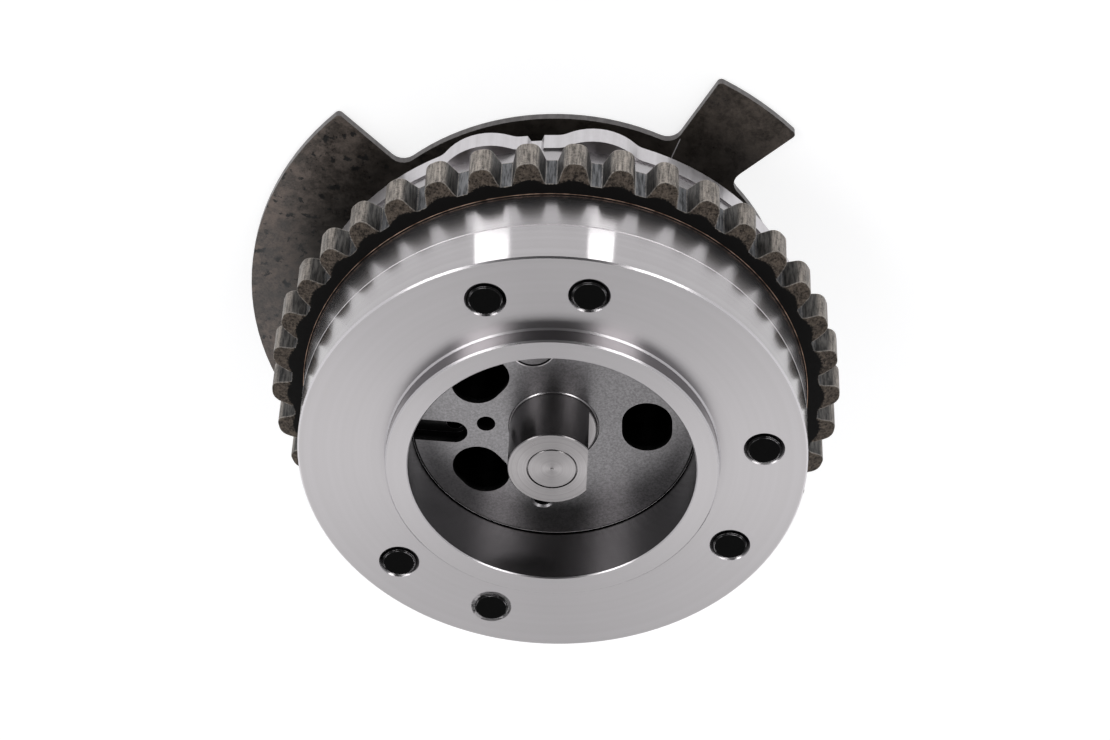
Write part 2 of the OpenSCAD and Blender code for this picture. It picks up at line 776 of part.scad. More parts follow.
module lock_pin_cap() {
    color("darkgray")
    translate([pin_at[0], pin_at[1], cap_z]) difference() {
        cylinder(r = pin_hole_r, h = cap_t);
        translate([0, 0, -eps]) cylinder(r = cap_vent_r, h = cap_t + 2 * eps);
    }
}

module lock_pin() {
    color("silver")
    translate([pin_at[0], pin_at[1], rotor_back_z]) difference() {
        rotate_extrude() polygon([
            [0, 0],
            [nose_r, 0],
            [nose_r, nose_len],
            [pin_r, nose_len + pin_r - nose_r],
            [pin_r, pin_len],
            [0, pin_len]
        ]);
        translate([0, 0, pin_floor]) cylinder(r = spring_hole_r, h = pin_len);
    }
}

// A point on the spring's wire, k steps along the coil and j sides around the wire
function wire_point(k, j) =
    let (
        turn = k * 360 / coil_steps,
        rise = (spring_len - 2 * wire_r) / (spring_turns * coil_steps),
        r = coil_r + wire_r * cos(j * 360 / wire_sides),
        z = wire_r + k * rise + wire_r * sin(j * 360 / wire_sides)
    )
    [r * cos(turn), r * sin(turn), z];

module lock_pin_spring() {
    steps = spring_turns * coil_steps;
    points = [for (k = [0 : steps], j = [0 : wire_sides - 1]) wire_point(k, j)];
    sides = [for (k = [0 : steps - 1], j = [0 : wire_sides - 1])
        let (n = (j + 1) % wire_sides, a = k * wire_sides, b = a + wire_sides)
        [a + j, b + j, b + n, a + n]];
    first = [for (j = [0 : wire_sides - 1]) j];
    last = [for (j = [0 : wire_sides - 1]) steps * wire_sides + wire_sides - 1 - j];
    color("dimgray")
    translate([pin_at[0], pin_at[1], spring_from_z])
        polyhedron(points = points, faces = concat(sides, [first], [last]));
}

front_cover();
stator();
sprocket();
rear_cover();
cover_screws();
lock_seat();
web_seal(0);  // web_seal_1
web_seal(1);  // web_seal_2
web_seal(2);  // web_seal_3
web_seal_spring(0);  // web_seal_spring_1
web_seal_spring(1);  // web_seal_spring_2
web_seal_spring(2);  // web_seal_spring_3
rotor();
centre_shaft();
shaft_plug();
face_disc();
trigger_wheel();
lock_pin_cap();
vane_seal(0);  // vane_seal_1
vane_seal(1);  // vane_seal_2
vane_seal(2);  // vane_seal_3
vane_seal_spring(0);  // vane_seal_spring_1
vane_seal_spring(1);  // vane_seal_spring_2
vane_seal_spring(2);  // vane_seal_spring_3
lock_pin();
lock_pin_spring();
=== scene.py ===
"""Cam phaser on a pale studio floor: finishes, small trim, light and camera round the model."""

import json
import math

import bpy
from mathutils import Matrix, Vector


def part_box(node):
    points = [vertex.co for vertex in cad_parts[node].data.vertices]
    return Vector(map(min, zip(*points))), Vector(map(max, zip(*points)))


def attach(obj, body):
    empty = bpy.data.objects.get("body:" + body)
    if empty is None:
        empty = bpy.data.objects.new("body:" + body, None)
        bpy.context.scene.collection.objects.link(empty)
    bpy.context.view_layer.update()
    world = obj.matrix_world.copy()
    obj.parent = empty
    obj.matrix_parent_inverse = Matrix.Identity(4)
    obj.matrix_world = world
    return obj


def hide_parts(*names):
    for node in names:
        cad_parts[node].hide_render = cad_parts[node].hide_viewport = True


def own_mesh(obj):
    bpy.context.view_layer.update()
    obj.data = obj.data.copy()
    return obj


MM = 0.001

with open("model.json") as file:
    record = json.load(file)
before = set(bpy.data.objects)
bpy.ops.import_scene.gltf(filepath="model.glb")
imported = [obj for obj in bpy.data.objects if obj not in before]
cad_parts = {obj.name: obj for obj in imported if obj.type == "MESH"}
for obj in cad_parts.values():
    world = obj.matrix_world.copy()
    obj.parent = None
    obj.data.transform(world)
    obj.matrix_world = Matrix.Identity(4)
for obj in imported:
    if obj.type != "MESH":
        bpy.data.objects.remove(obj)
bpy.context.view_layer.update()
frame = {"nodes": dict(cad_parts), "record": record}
mounts = {mount["name"]: mount for mount in frame["record"]["mounts"]}

# Sizes read from the frame, in metres
cover_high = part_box("front_cover")[1]
ring_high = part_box("sprocket")[1]
stator_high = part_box("stator")[1]
rotor_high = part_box("rotor")[1]
disc_low, disc_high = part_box("face_disc")
housing_r = cover_high.x
tooth_tip_r = max(ring_high.x, ring_high.y)
face_z = mounts["front_spigot"]["pos_m"][2]
lip_r = mounts["front_spigot"]["dims"]["r_mm"] * MM

# The same places in millimetres, for the materials
HOUSING_R = housing_r / MM
TIP_R = tooth_tip_r / MM
LIP_R = lip_r / MM
JOINT_Z = stator_high.z / MM
ROTOR_Z = rotor_high.z / MM
DISC_AT = ((disc_low.x + disc_high.x) / 2 / MM, (disc_low.y + disc_high.y) / 2 / MM, 0.0)
DISC_R = (disc_high.x - disc_low.x) / 2 / MM

# Thickness of the lip's wall, and the play of the rotor's boss in the bore inside it
LIP_WALL = 4.0
BOSS_PLAY = 0.1
LIP_MIDDLE = LIP_R - LIP_WALL / 2
BOSS_R = LIP_R - LIP_WALL - BOSS_PLAY

# Half width of the painted highlight line where the front cover meets the stator
JOINT_HIGHLIGHT_WIDTH = 0.16

# Chain teeth as counted in the photograph, and the angle of one of them
TOOTH_COUNT = 38
TOOTH_TURN = math.radians(88.05)

# How far below the tips of the teeth the black face and the floors between the teeth begin
FACE_DEPTH = 3.2
ROOT_DEPTH = 3.6

# Ends of a hair scratch on the trigger wheel
SCRATCH_FROM = (18.83, 32.79)
SCRATCH_TO = (20.38, 37.7)

# Camera, fitted to the round edges in the photograph
PHOTO_WIDTH = 1110
FOCAL_PX = 3976.2
SENSOR_MM = 36.0
CAMERA_TILT = math.radians(39.491)
CAMERA_ROLL = math.radians(2.525)
CAMERA_DISTANCE = 700.31 * MM
SHIFT_RIGHT = -0.46 * MM
SHIFT_DOWN = 15.66 * MM
CLIP_START = 0.01

# Unit vector from the object to the camera
to_camera = Vector((0, math.sin(CAMERA_TILT), math.cos(CAMERA_TILT)))


class Shader:
    """A procedural material. Its places are in millimetres in the piece's own frame."""

    def __init__(self, name, metallic=0.0, specular=0.5):
        self.material = bpy.data.materials.new(name)
        self.material.use_nodes = True
        self.tree = self.material.node_tree
        self.surface = self.tree.nodes["Principled BSDF"]
        self.surface.inputs["Metallic"].default_value = metallic
        self.surface.inputs["Specular IOR Level"].default_value = specular
        coords = self.add("TexCoord")
        self.place = self.vector("SCALE", {0: coords.outputs["Object"], "Scale": 1 / MM}).outputs[0]
        self.x, self.y, self.z = self.add("SeparateXYZ", {0: self.place}).outputs
        self.flat = self.vector("MULTIPLY", {0: self.place, 1: (1, 1, 0)}).outputs[0]
        self.radius = self.vector("LENGTH", {0: self.flat}).outputs["Value"]
        self.turn = self.maths("ARCTAN2", self.y, self.x)
        self.up = self.add("SeparateXYZ", {0: coords.outputs["Normal"]}).outputs["Z"]
        self.facing = self.maths("ABSOLUTE", self.up)

    def add(self, kind, inputs=None, **settings):
        """A new node with its settings and inputs, each a value or a socket to link."""
        node = self.tree.nodes.new("ShaderNode" + kind)
        for name, value in settings.items():
            setattr(node, name, value)
        for key, value in (inputs or {}).items():
            self.put(node.inputs[key], value)
        return node

    def put(self, socket, value):
        if isinstance(value, bpy.types.NodeSocket):
            self.tree.links.new(value, socket)
        else:
            socket.default_value = value

    def finish(self, colour, roughness, normal=None, metallic=None):
        """Sends worked-out values to the surface shader."""
        sockets = {
            "Base Color": colour,
            "Roughness": roughness,
            "Normal": normal,
            "Metallic": metallic,
        }
        for name, value in sockets.items():
            if value is not None:
                self.put(self.surface.inputs[name], value)
        return self.material

    def vector(self, operation, inputs):
        return self.add("VectorMath", inputs, operation=operation)

    def maths(self, operation, a, b=0.0, c=0.0):
        return self.add("Math", {0: a, 1: b, 2: c}, operation=operation).outputs[0]

    def times(self, a, b):
        return self.maths("MULTIPLY", a, b)

    def scaled(self, value, factor, start):
        """A value times a factor, added to a start."""
        return self.maths("MULTIPLY_ADD", value, factor, start)

    def varied(self, value, noise, amount):
        """A value that noise moves up and down by as much as half the amount."""
        return self.scaled(self.maths("SUBTRACT", noise, 0.5), amount, value)

    def along(self, value, low, high, start=0.0, end=1.0):
        """A smooth step from start to end while value goes from low to high."""
        inputs = {"Value": value, "From Min": low, "From Max": high, "To Min": start, "To Max": end}
        return self.add("MapRange", inputs, interpolation_type="SMOOTHSTEP").outputs["Result"]

    def off(self, value, middle):
        """How far a value is from a middle, either way."""
        return self.maths("ABSOLUTE", self.maths("SUBTRACT", value, middle))

    def noise(self, scale, detail=3.0, roughness=0.55, vector=None):
        """Noise over the place, with scale in lumps per millimetre."""
        inputs = {
            "Vector": self.place if vector is None else vector,
            "Scale": scale,
            "Detail": detail,
            "Roughness": roughness,
        }
        return self.add("TexNoise", inputs).outputs["Fac"]

    def lines(self, value, scale, detail=2.0):
        """Noise along one value, which draws lines where that value stays the same."""
        inputs = {"W": value, "Scale": scale, "Detail": detail}
        return self.add("TexNoise", inputs, noise_dimensions="1D").outputs["Fac"]

    def stretched(self, x, y, z):
        """A vector from three values, for noise that is longer one way."""
        return self.add("CombineXYZ", {0: x, 1: y, 2: z}).outputs[0]

    def drawn(self):
        """A place in which noise is drawn out along the shaft axis."""
        return self.stretched(self.x, self.y, self.times(self.z, 0.3))

    def mix(self, amount, a, b):
        """A colour between a and b."""
        node = self.add("Mix", data_type="RGBA")
        self.put(node.inputs[0], amount)
        self.put(node.inputs[6], a)
        self.put(node.inputs[7], b)
        return node.outputs[2]

    def bump(self, height, microns, normal=None):
        node = self.add("Bump", {"Height": height, "Distance": microns * MM * MM, "Strength": 1.0})
        if normal is not None:
            self.put(node.inputs["Normal"], normal)
        return node.outputs["Normal"]

    def edge(self, width):
        """How near a sharp edge is, from 0 on open faces to 1, for a width in millimetres."""
        rounded = self.add("Bevel", {"Radius": width * MM}, samples=6).outputs["Normal"]
        plain = self.add("NewGeometry").outputs["Normal"]
        bend = self.vector("DOT_PRODUCT", {0: rounded, 1: plain}).outputs["Value"]
        return self.along(bend, 0.995, 0.9)

    def scratch(self, start, end, width):
        """A thin straight line between two places seen along Z."""
        a = Vector(start)
        run = Vector(end) - a
        way = run.normalized()
        fade = 0.4
        x = self.maths("SUBTRACT", self.x, a.x)
        y = self.maths("SUBTRACT", self.y, a.y)
        ahead = self.scaled(x, way.x, self.times(y, way.y))
        aside = self.maths("ABSOLUTE", self.scaled(x, way.y, self.times(y, -way.x)))
        line = self.along(aside, width, width / 3)
        first = self.along(ahead, 0.0, fade)
        last = self.along(ahead, run.length, run.length - fade)
        return self.times(line, self.times(first, last))

    def turned(self, amount):
        """Gloss drawn out across the grooves that a lathe leaves round the axis."""
        tangent = self.add("Tangent", direction_type="RADIAL", axis="Z").outputs[0]
        self.put(self.surface.inputs["Tangent"], tangent)
        self.surface.inputs["Anisotropic"].default_value = amount
        self.surface.inputs["Anisotropic Rotation"].default_value = 0.25


def grey(value, warmth=0.0):
    """The faintly rosy grey of the steel, with more red and less blue as it gets warmer."""
    return (value * (1.02 + warmth), value * 0.98, value * (1 - warmth), 1.0)


def turned_steel(name, level, wall_level, face_gloss, wall_gloss, bore_gloss):
    """Bright lathe-turned steel: fine rings on faces and walls, smudges and a few pits, with
    painted shade in the bore and painted highlights on chamfers and the joint line.
    """
    s = Shader(name, metallic=1.0)
    s.turned(0.75)
    feed = s.maths("ADD", s.radius, s.z)
    fine = s.lines(feed, 5.0)
    coarse = s.lines(feed, 0.8)
    smudge = s.noise(0.06, 4.0)
    shade = s.scaled(coarse, 0.5, s.times(smudge, 0.5))
    face = s.mix(shade, grey(level * 0.94, 0.004), grey(level * 1.06, -0.004))
    wall = s.mix(shade, grey(wall_level * 0.9, 0.004), grey(wall_level * 1.1, -0.004))
    # Painted shade: the bore is darkened, most of all at its foot
    bore = s.along(s.radius, LIP_MIDDLE + 0.5, LIP_MIDDLE - 0.5)
    foot = s.along(s.z, ROTOR_Z + 0.6, ROTOR_Z + 0.3, 0.54, 0.95)
    wall = s.mix(s.times(bore, foot), wall, (0.02, 0.02, 0.018, 1))
    colour = s.mix(s.along(s.facing, 0.2, 0.6), wall, face)
    # Painted highlight: chamfers are lightened, most of all at the outer rim
    chamfer_highlight = s.times(s.along(s.facing, 0.4, 0.5), s.along(s.facing, 0.92, 0.82))
    painted_rim = s.times(chamfer_highlight, s.along(s.radius, HOUSING_R - 3, HOUSING_R - 2, 0.3, 1.0))
    colour = s.mix(painted_rim, colour, grey(0.64))
    # Painted highlight: a light line between the front cover and the stator
    joint_highlight = s.along(s.off(s.z, JOINT_Z), JOINT_HIGHLIGHT_WIDTH, JOINT_HIGHLIGHT_WIDTH * 0.6)
    colour = s.mix(joint_highlight, colour, grey(0.85))
    pit = s.along(s.noise(1.3, 1.0, 0.4), 0.86, 0.88)
    colour = s.mix(pit, colour, (0.01, 0.01, 0.01, 1))
    walls = s.along(s.radius, LIP_MIDDLE - 0.5, LIP_MIDDLE + 0.5, bore_gloss, wall_gloss)
    flat = s.along(s.facing, 0.2, 0.8)
    gloss = s.add("Mix", {0: flat, 2: walls, 3: face_gloss}).outputs[0]
    gloss = s.varied(gloss, smudge, 0.06)
    gloss = s.varied(gloss, fine, 0.04)
    gloss = s.scaled(joint_highlight, 0.45, gloss)
    gloss = s.scaled(painted_rim, -0.05, gloss)
    return s.finish(colour, gloss, s.bump(fine, 1.0))


def pressed_steel(name):
    """Light blanked plate: satin faces and a cut edge with streaks across the sheet."""
    s = Shader(name, metallic=1.0)
    streak = s.noise(1.0, 3.0, vector=s.stretched(s.times(s.turn, 40.0), s.radius, 0.0))
    grain = s.noise(1.2, 4.0)
    cut = s.times(streak, s.along(s.facing, 0.7, 0.3))
    shade = s.maths("ADD", cut, s.times(grain, 0.4))
    colour = s.mix(shade, grey(0.42), grey(0.62, -0.01))
    return s.finish(colour, s.scaled(grain, 0.1, 0.28), s.bump(cut, 4.0))


def tooth_ring(name):
    """Hardened chain teeth: black face, gritty bevels, streaked flanks, worn lands and edges."""
    s = Shader(name, metallic=0.75)
    blotch = s.noise(0.9, 6.0, 0.7)
    grit = s.noise(2.4, 4.0, 0.75)
    long_way = s.stretched(s.times(s.x, 2.2), s.times(s.y, 2.2), s.times(s.z, 0.25))
    streak = s.noise(1.0, 4.0, 0.65, long_way)
    # The black face reaches up each tooth in an arch
    wave = s.maths("COSINE", s.times(s.maths("SUBTRACT", s.turn, TOOTH_TURN), TOOTH_COUNT))
    arch = s.scaled(wave, 0.5, TIP_R - FACE_DEPTH)
    ragged = s.varied(s.radius, grit, 1.6)
    black = s.along(s.maths("SUBTRACT", ragged, arch), 0.15, -0.15)
    black = s.times(black, s.along(s.up, 0.8, 0.95))
    land = s.along(s.radius, TIP_R - 1.4, TIP_R - 0.4)
    gap = s.along(s.radius, TIP_R - FACE_DEPTH, TIP_R - ROOT_DEPTH)
    wall = s.along(s.facing, 0.5, 0.2)
    tone = s.along(s.scaled(grit, 0.6, s.times(blotch, 0.4)), 0.36, 0.64)
    rub = s.along(s.scaled(streak, 0.6, s.times(grit, 0.4)), 0.36, 0.64)
    bevel = s.mix(tone, (0.012, 0.0095, 0.008, 1), (0.15, 0.12, 0.096, 1))
    flank = s.mix(s.along(streak, 0.35, 0.65), (0.012, 0.0115, 0.011, 1), (0.1, 0.094, 0.088, 1))
    worn = s.mix(rub, (0.05, 0.044, 0.039, 1), (0.33, 0.295, 0.262, 1))
    worn = s.mix(s.along(grit, 0.6, 0.7), worn, (0.03, 0.026, 0.022, 1))
    root = s.mix(s.along(streak, 0.34, 0.66), (0.02, 0.021, 0.023, 1), (0.17, 0.172, 0.18, 1))
    side = s.mix(gap, s.mix(land, flank, worn), root)
    colour = s.mix(black, s.mix(wall, bevel, side), (0.004, 0.0035, 0.0032, 1))
    rubbed = s.times(s.edge(0.4), s.along(grit, 0.35, 0.6, 0.2, 1.0))
    rubbed = s.times(rubbed, s.maths("SUBTRACT", 1.0, black))
    colour = s.mix(rubbed, colour, (0.36, 0.33, 0.3, 1))
    gloss = s.scaled(blotch, 0.3, s.along(wall, 0.0, 1.0, 0.45, 0.3))
    return s.finish(colour, gloss, s.bump(grit, 26.0, s.bump(blotch, 40.0)))


def sintered_steel(name):
    """Pressed powder metal: a fine-grained grey, painted lighter on one side as if lit from there,
    and painted shade in its holes.
    """
    s = Shader(name, metallic=1.0)
    grain = s.along(s.noise(2.6, 3.0, 0.75), 0.3, 0.7)
    cloud = s.noise(0.12, 3.0)
    rings = s.lines(s.radius, 2.2)
    # Painted light: lighter towards -x, as if lit from that side
    lit = s.along(s.x, 22.0, -18.0)
    shade = s.scaled(grain, 0.45, s.times(cloud, 0.25))
    shade = s.scaled(rings, 0.1, shade)
    shade = s.scaled(lit, 0.25, shade)
    colour = s.mix(shade, grey(0.11), grey(0.37, -0.01))
    # Painted shade: holes in the front face get darker with depth
    depth = s.maths("SUBTRACT", ROTOR_Z, s.z)
    front = s.along(depth, 21.0, 17.0)
    colour = s.mix(s.times(s.along(depth, 0.1, 1.6), front), colour, grey(0.035))
    colour = s.mix(s.times(s.along(depth, 3.0, 7.0), front), colour, grey(0.008))
    # Painted highlight: sharp edges are lightened
    colour = s.mix(s.times(s.edge(0.12), 0.6), colour, grey(0.5))
    # Painted shade: a dark rim where the boss meets the bore
    painted_rim = s.along(s.radius, BOSS_R - 0.35, BOSS_R - 0.2)
    colour = s.mix(s.times(painted_rim, s.along(depth, 0.6, 0.3)), colour, grey(0.02))
    # Painted shade in the gap round the pressed-in disc, and a painted highlight on a line outside
    # it on two sides
    from_disc = s.vector("DISTANCE", {0: s.flat, 1: DISC_AT}).outputs["Value"]
    shallow = s.along(depth, 1.0, 0.6)
    gap = s.along(s.off(from_disc, DISC_R - 0.1), 0.2, 0.1)
    colour = s.mix(s.times(gap, shallow), colour, grey(0.015))
    disc_highlight = s.along(s.off(from_disc, DISC_R + 0.18), 0.14, 0.06)
    aside = s.along(s.off(s.x, DISC_AT[0]), DISC_R * 0.15, DISC_R * 0.5, 0.2, 1.0)
    colour = s.mix(s.times(s.times(disc_highlight, aside), shallow), colour, grey(0.85))
    return s.finish(colour, s.scaled(cloud, 0.1, 0.3), s.bump(grain, 3.0))


def ground_steel(name):
    """Ground shaft: polished sides with fine rings, and a duller faced end with clear rings."""
    s = Shader(name, metallic=1.0)
    s.turned(0.85)
    rings = s.lines(s.maths("ADD", s.radius, s.z), 4.0, 3.0)
    smudge = s.noise(0.25, 3.0)
    tone = s.scaled(rings, 0.6, s.times(smudge, 0.4))
    end = s.along(s.up, 0.8, 0.95)
    side = s.mix(tone, grey(0.15, 0.02), grey(0.27, 0.005))
    faced = s.mix(tone, grey(0.2, 0.02), grey(0.46, 0.005))
    collar = s.along(s.z, ROTOR_Z + 0.15, ROTOR_Z + 0.1)
    side = s.mix(collar, side, grey(0.6))
    gloss = s.scaled(smudge, 0.06, s.along(end, 0.0, 1.0, 0.22, 0.26))
    return s.finish(s.mix(end, side, faced), gloss, s.bump(rings, 1.0))


def stamped_sheet(name):
    """Dark phosphated sheet: brown mottling, black spots, a hair scratch and a bare cut edge."""
    s = Shader(name, specular=0.6)
    mottle = s.along(s.noise(0.3, 6.0, 0.7), 0.36, 0.66)
    speck = s.noise(2.4, 4.0, 0.7)
    tone = s.scaled(speck, 0.7, s.scaled(mottle, 0.55, -0.12))
    # Painted light makes it lighter and browner towards the lower left, where it is also more
    # spotted, and painted shade darkens it towards the housing
    painted_lit_side = s.along(s.scaled(s.x, -0.8, s.times(s.y, -0.6)), -25.0, 45.0)
    rust_light_and_shade = s.mix(painted_lit_side, (0.1, 0.079, 0.064, 1), (0.25, 0.195, 0.165, 1))
    rust_light_and_shade = s.mix(s.along(s.radius, 43.0, 57.0), (0.03, 0.024, 0.019, 1), rust_light_and_shade)
    sheet = s.mix(tone, (0.008, 0.0065, 0.0053, 1), rust_light_and_shade)
    spots = s.along(s.noise(0.45, 5.0, 0.65), 0.58, 0.63)
    spots = s.times(s.along(s.x, 10.0, -40.0), spots)
    sheet = s.mix(spots, sheet, (0.003, 0.0028, 0.0026, 1))
    sheet = s.mix(s.scratch(SCRATCH_FROM, SCRATCH_TO, 0.12), sheet, grey(0.4))
    bare = s.along(s.facing, 0.6, 0.3)
    streak = s.noise(1.0, 3.0, 0.6, s.drawn())
    colour = s.mix(bare, sheet, s.mix(streak, grey(0.05, 0.02), grey(0.18, 0.02)))
    rubbed = s.times(s.edge(0.25), s.along(speck, 0.4, 0.65, 0.1, 0.7))
    colour = s.mix(rubbed, colour, grey(0.22, 0.03))
    gloss = s.scaled(mottle, 0.15, s.scaled(speck, 0.2, 0.2))
    return s.finish(colour, gloss, s.bump(speck, 8.0), s.times(bare, 0.9))


def black_oxide(name):
    """Black oxide on screws: nearly black and slightly uneven, rubbed bright at the edges."""
    s = Shader(name, specular=0.03)
    blotch = s.noise(1.5, 4.0)
    worn = s.times(s.edge(0.16), s.along(s.noise(0.5, 2.0), 0.46, 0.58, 0.08, 1.0))
    colour = s.mix(blotch, (0.0008, 0.0008, 0.0009, 1), (0.004, 0.0039, 0.0038, 1))
    gloss = s.scaled(blotch, 0.2, 0.3)
    return s.finish(s.mix(worn, colour, grey(0.8)), gloss, s.bump(blotch, 8.0), worn)


def seal_plastic(name):
    """Filled seal plastic: dark and matt with a fine fleck."""
    s = Shader(name)
    fleck = s.noise(3.0, 4.0, 0.7)
    colour = s.mix(fleck, (0.02, 0.018, 0.016, 1), (0.07, 0.062, 0.055, 1))
    return s.finish(colour, s.scaled(fleck, 0.2, 0.5))


def drawn_steel(name, level):
    """Spring wire and small hardened pieces: smooth grey with drawing lines."""
    s = Shader(name, metallic=1.0)
    draw = s.noise(1.5, 3.0, 0.6, s.drawn())
    colour = s.mix(draw, grey(level * 0.75), grey(level * 1.15))
    return s.finish(colour, s.scaled(draw, 0.2, 0.2))


def braze(name):
    """Copper braze, dulled by heat."""
    s = Shader(name, metallic=1.0)
    cloud = s.along(s.noise(0.3, 5.0, 0.7), 0.35, 0.65)
    colour = s.mix(cloud, (0.12, 0.062, 0.04, 1), (0.85, 0.6, 0.46, 1))
    return s.finish(colour, s.scaled(cloud, 0.3, 0.3))


def paint(material, *nodes):
    """Gives CAD nodes their finish."""
    for node in nodes:
        slots = frame["nodes"][node].data.materials
        slots.clear()
        slots.append(material)


def numbered(name):
    return [f"{name}_{i}" for i in (1, 2, 3)]


cover_finish = {"level": 0.45, "wall_level": 0.4}
cover_gloss = {"face_gloss": 0.3, "wall_gloss": 0.14, "bore_gloss": 0.22}
stator_finish = {"level": 0.4, "wall_level": 0.4}
stator_gloss = {"face_gloss": 0.3, "wall_gloss": 0.23, "bore_gloss": 0.3}

paint(turned_steel("turned_steel", **cover_finish, **cover_gloss), "front_cover")
paint(turned_steel("stator_steel", **stator_finish, **stator_gloss), "stator")
paint(tooth_ring("tooth_ring"), "sprocket")
paint(pressed_steel("pressed_steel"), "rear_cover")
paint(black_oxide("black_oxide"), "cover_screws")
paint(sintered_steel("sintered_steel"), "rotor", "face_disc")
paint(ground_steel("ground_steel"), "centre_shaft", "shaft_plug")
paint(stamped_sheet("stamped_sheet"), "trigger_wheel")
paint(drawn_steel("hard_steel", 0.4), "lock_seat", "lock_pin_cap", "lock_pin")
paint(seal_plastic("seal_plastic"), *numbered("vane_seal"), *numbered("web_seal"))
paint(drawn_steel("spring_steel", 0.3), "lock_pin_spring",
      *numbered("vane_seal_spring"), *numbered("web_seal_spring"))


def ring_piece(name, profile, steps, material, body):
    """A closed profile of (radius, height) points turned round the shaft axis."""
    points = []
    faces = []
    sides = len(profile)
    for k in range(steps):
        turn = 2 * math.pi * k / steps
        points += [(r * math.cos(turn), r * math.sin(turn), z) for r, z in profile]
        a = k * sides
        b = (k + 1) % steps * sides
        for j in range(sides):
            n = (j + 1) % sides
            faces.append((a + j, a + n, b + n, b + j))
    mesh = bpy.data.meshes.new(name)
    mesh.from_pydata(points, [], faces)
    mesh.materials.append(material)
    mesh.polygons.foreach_set("use_smooth", [True] * len(faces))
    piece = bpy.data.objects.new(name, mesh)
    bpy.context.scene.collection.objects.link(piece)
    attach(piece, body)


def round_profile(r, z, size, sides):
    """A small circle as a profile."""
    turns = [2 * math.pi * j / sides for j in range(sides)]
    return [(r + size * math.cos(t), z + size * math.sin(t)) for t in turns]


# The braze line where the tooth ring meets the housing
BRAZE_R = housing_r + 0.24 * MM
BRAZE_SIZE = 0.05 * MM
BRAZE_SIDES = 8
BRAZE_STEPS = 240
ring_piece("braze_line", round_profile(BRAZE_R, ring_high.z, BRAZE_SIZE, BRAZE_SIDES), BRAZE_STEPS,
           braze("braze"), "housing")


# The lock pin's spring, copied onto the rotor's body in place of the CAD part
spring = frame["nodes"]["lock_pin_spring"]
coil = bpy.data.objects.new("lock_pin_coil", spring.data.copy())
coil.matrix_world = spring.matrix_world
bpy.context.scene.collection.objects.link(coil)
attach(coil, "rotor")
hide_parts("lock_pin_spring")
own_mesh(coil)


# Pale floor with a faint glow
FLOOR_REACH = 3.0
FLOOR_GLOW = 0.74
corners = [(x * FLOOR_REACH, y * FLOOR_REACH, 0) for x, y in ((-1, -1), (1, -1), (1, 1), (-1, 1))]
floor_mesh = bpy.data.meshes.new("floor")
floor_mesh.from_pydata(corners, [], [(0, 1, 2, 3)])
floor = bpy.data.objects.new("floor", floor_mesh)
bpy.context.scene.collection.objects.link(floor)
paper = Shader("paper")
fibre = paper.noise(0.02, 3.0)
paper.finish(paper.mix(fibre, (0.4, 0.4, 0.405, 1), (0.42, 0.42, 0.425, 1)), 0.8)
paper.surface.inputs["Emission Color"].default_value = (1, 1, 1, 1)
paper.surface.inputs["Emission Strength"].default_value = FLOOR_GLOW
floor_mesh.materials.append(paper.material)


# Soft studio light: a tent that is brighter low down and at its sides, and dark round the camera
TENT_LEVEL = 0.22
TENT_COLOUR = (0.97, 0.98, 1.0, 1)
SIDE_LEVEL = 0.6
SIDE_FROM = 0.25
SIDE_TO = 0.65
LOW_LEVEL = 0.4
LOW_FROM = 0.55
LOW_TO = 0.32
DARK_SHARE = 0.12
DARK_FROM = math.cos(math.radians(40))
DARK_TO = math.cos(math.radians(16))

world = bpy.data.worlds.new("studio")
bpy.context.scene.world = world
world.use_nodes = True
sky = world.node_tree.nodes
ways = world.node_tree.links


def sky_step(value, low, high, start, end):
    """A smooth step from start to end while value goes from low to high."""
    node = sky.new("ShaderNodeMapRange")
    node.interpolation_type = "SMOOTHSTEP"
    ways.new(value, node.inputs["Value"])
    numbers = {"From Min": low, "From Max": high, "To Min": start, "To Max": end}
    for socket, number in numbers.items():
        node.inputs[socket].default_value = number
    return node.outputs["Result"]


def sky_maths(operation, *values):
    node = sky.new("ShaderNodeMath")
    node.operation = operation
    for socket, value in zip(node.inputs, values):
        ways.new(value, socket)
    return node.outputs[0]


sight = sky.new("ShaderNodeTexCoord").outputs["Generated"]
toward = sky.new("ShaderNodeVectorMath")
toward.operation = "DOT_PRODUCT"
toward.inputs[1].default_value = to_camera
ways.new(sight, toward.inputs[0])
parts = sky.new("ShaderNodeSeparateXYZ")
ways.new(sight, parts.inputs[0])
across = sky_maths("ABSOLUTE", parts.outputs["X"])
sides = sky_step(across, SIDE_FROM, SIDE_TO, TENT_LEVEL, SIDE_LEVEL)
low = sky_step(parts.outputs["Z"], LOW_FROM, LOW_TO, 0.0, LOW_LEVEL)
dark = sky_step(toward.outputs["Value"], DARK_FROM, DARK_TO, 1.0, DARK_SHARE)
glow = sky_maths("MULTIPLY", sky_maths("ADD", sides, low), dark)
ways.new(glow, sky["Background"].inputs["Strength"])
sky["Background"].inputs["Color"].default_value = TENT_COLOUR


def panel(name, place, aim, width, height, level):
    """A rectangular light that shines from place towards aim with an even brightness."""
    light = bpy.data.lights.new(name, "AREA")
    light.shape = "RECTANGLE"
    light.size = width
    light.size_y = height
    light.energy = math.pi * width * height * level
    lamp = bpy.data.objects.new(name, light)
    turn = (aim - place).to_track_quat("-Z", "Y").to_matrix().to_4x4()
    lamp.matrix_world = Matrix.Translation(place) @ turn
    bpy.context.scene.collection.objects.link(lamp)
    return lamp


def sideways(azimuth, elevation=0.0):
    """A unit vector at an azimuth from +Y towards +X, and an elevation, in degrees."""
    a = math.radians(azimuth)
    e = math.radians(elevation)
    return Vector((math.sin(a) * math.cos(e), math.cos(a) * math.cos(e), math.sin(e)))


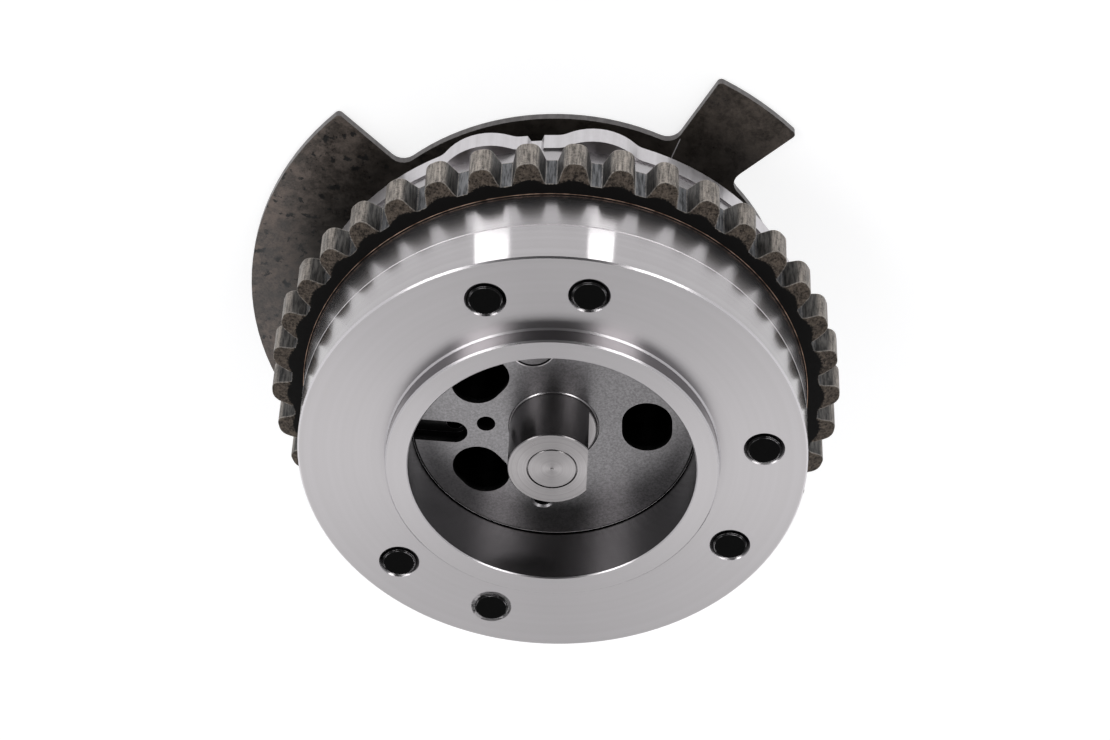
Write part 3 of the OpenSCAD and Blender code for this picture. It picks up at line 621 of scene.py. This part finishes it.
# A panel that the front face mirrors, and softboxes on both sides of the camera
LAMP_DISTANCE = 0.9
PANEL_AZIMUTH = 180
PANEL_ELEVATION = 50.5
PANEL_SIZE = (1.3, 0.42)
PANEL_LEVEL = 0.99
SOFTBOX_AZIMUTHS = {"softbox_left": -52, "softbox_right": 40}
SOFTBOX_ELEVATION = 48
SOFTBOX_SIZE = (0.31, 0.5)
SOFTBOX_LEVEL = 3.6
middle = Vector((0, 0, face_z / 2))
place = middle + LAMP_DISTANCE * sideways(PANEL_AZIMUTH, PANEL_ELEVATION)
panel("overhead", place, middle, *PANEL_SIZE, PANEL_LEVEL)
for name, azimuth in SOFTBOX_AZIMUTHS.items():
    place = middle + LAMP_DISTANCE * sideways(azimuth, SOFTBOX_ELEVATION)
    panel(name, place, middle, *SOFTBOX_SIZE, SOFTBOX_LEVEL)

# Light strips on the floor that the polished wall of the front cover mirrors at these azimuths
STRIP_SPANS = {"strip_left": (-19.5, -12.0), "strip_right": (6.0, 11.5)}
STRIP_LEVEL = 3.0
STRIP_LENGTH = 12 * MM
STRIP_LIFT = 1 * MM
wall_z = (stator_high.z + face_z) / 2
run = wall_z * math.tan(CAMERA_TILT)
for name, (first, last) in STRIP_SPANS.items():
    spot = (first + last) / 2
    reach = housing_r * sideways(spot) + run * sideways(2 * spot)
    place = reach + Vector((0, 0, STRIP_LIFT))
    width = (housing_r + 2 * run) * math.radians(last - first)
    lamp = panel(name, place, reach + Vector((0, 0, 1)), width, STRIP_LENGTH, STRIP_LEVEL)
    lamp.rotation_mode = "XYZ"
    lamp.rotation_euler = (math.pi, 0, -math.radians(2 * spot))


# Camera at the photograph's viewing angle
camera_data = bpy.data.cameras.new("camera")
camera_data.sensor_width = SENSOR_MM
camera_data.lens = FOCAL_PX / PHOTO_WIDTH * SENSOR_MM
camera_data.clip_start = CLIP_START
camera = bpy.data.objects.new("camera", camera_data)
bpy.context.scene.collection.objects.link(camera)
bpy.context.scene.camera = camera

forward = -to_camera
level_right = Vector((1, 0, 0))
level_down = forward.cross(level_right)
right = math.cos(CAMERA_ROLL) * level_right - math.sin(CAMERA_ROLL) * level_down
down = math.sin(CAMERA_ROLL) * level_right + math.cos(CAMERA_ROLL) * level_down
face_centre = Vector((0, 0, face_z))
eye = face_centre - SHIFT_RIGHT * right - SHIFT_DOWN * down - CAMERA_DISTANCE * forward
axes = Matrix((right, -down, -forward)).transposed().to_4x4()
camera.matrix_world = Matrix.Translation(eye) @ axes

bpy.context.scene.view_settings.view_transform = "Standard"
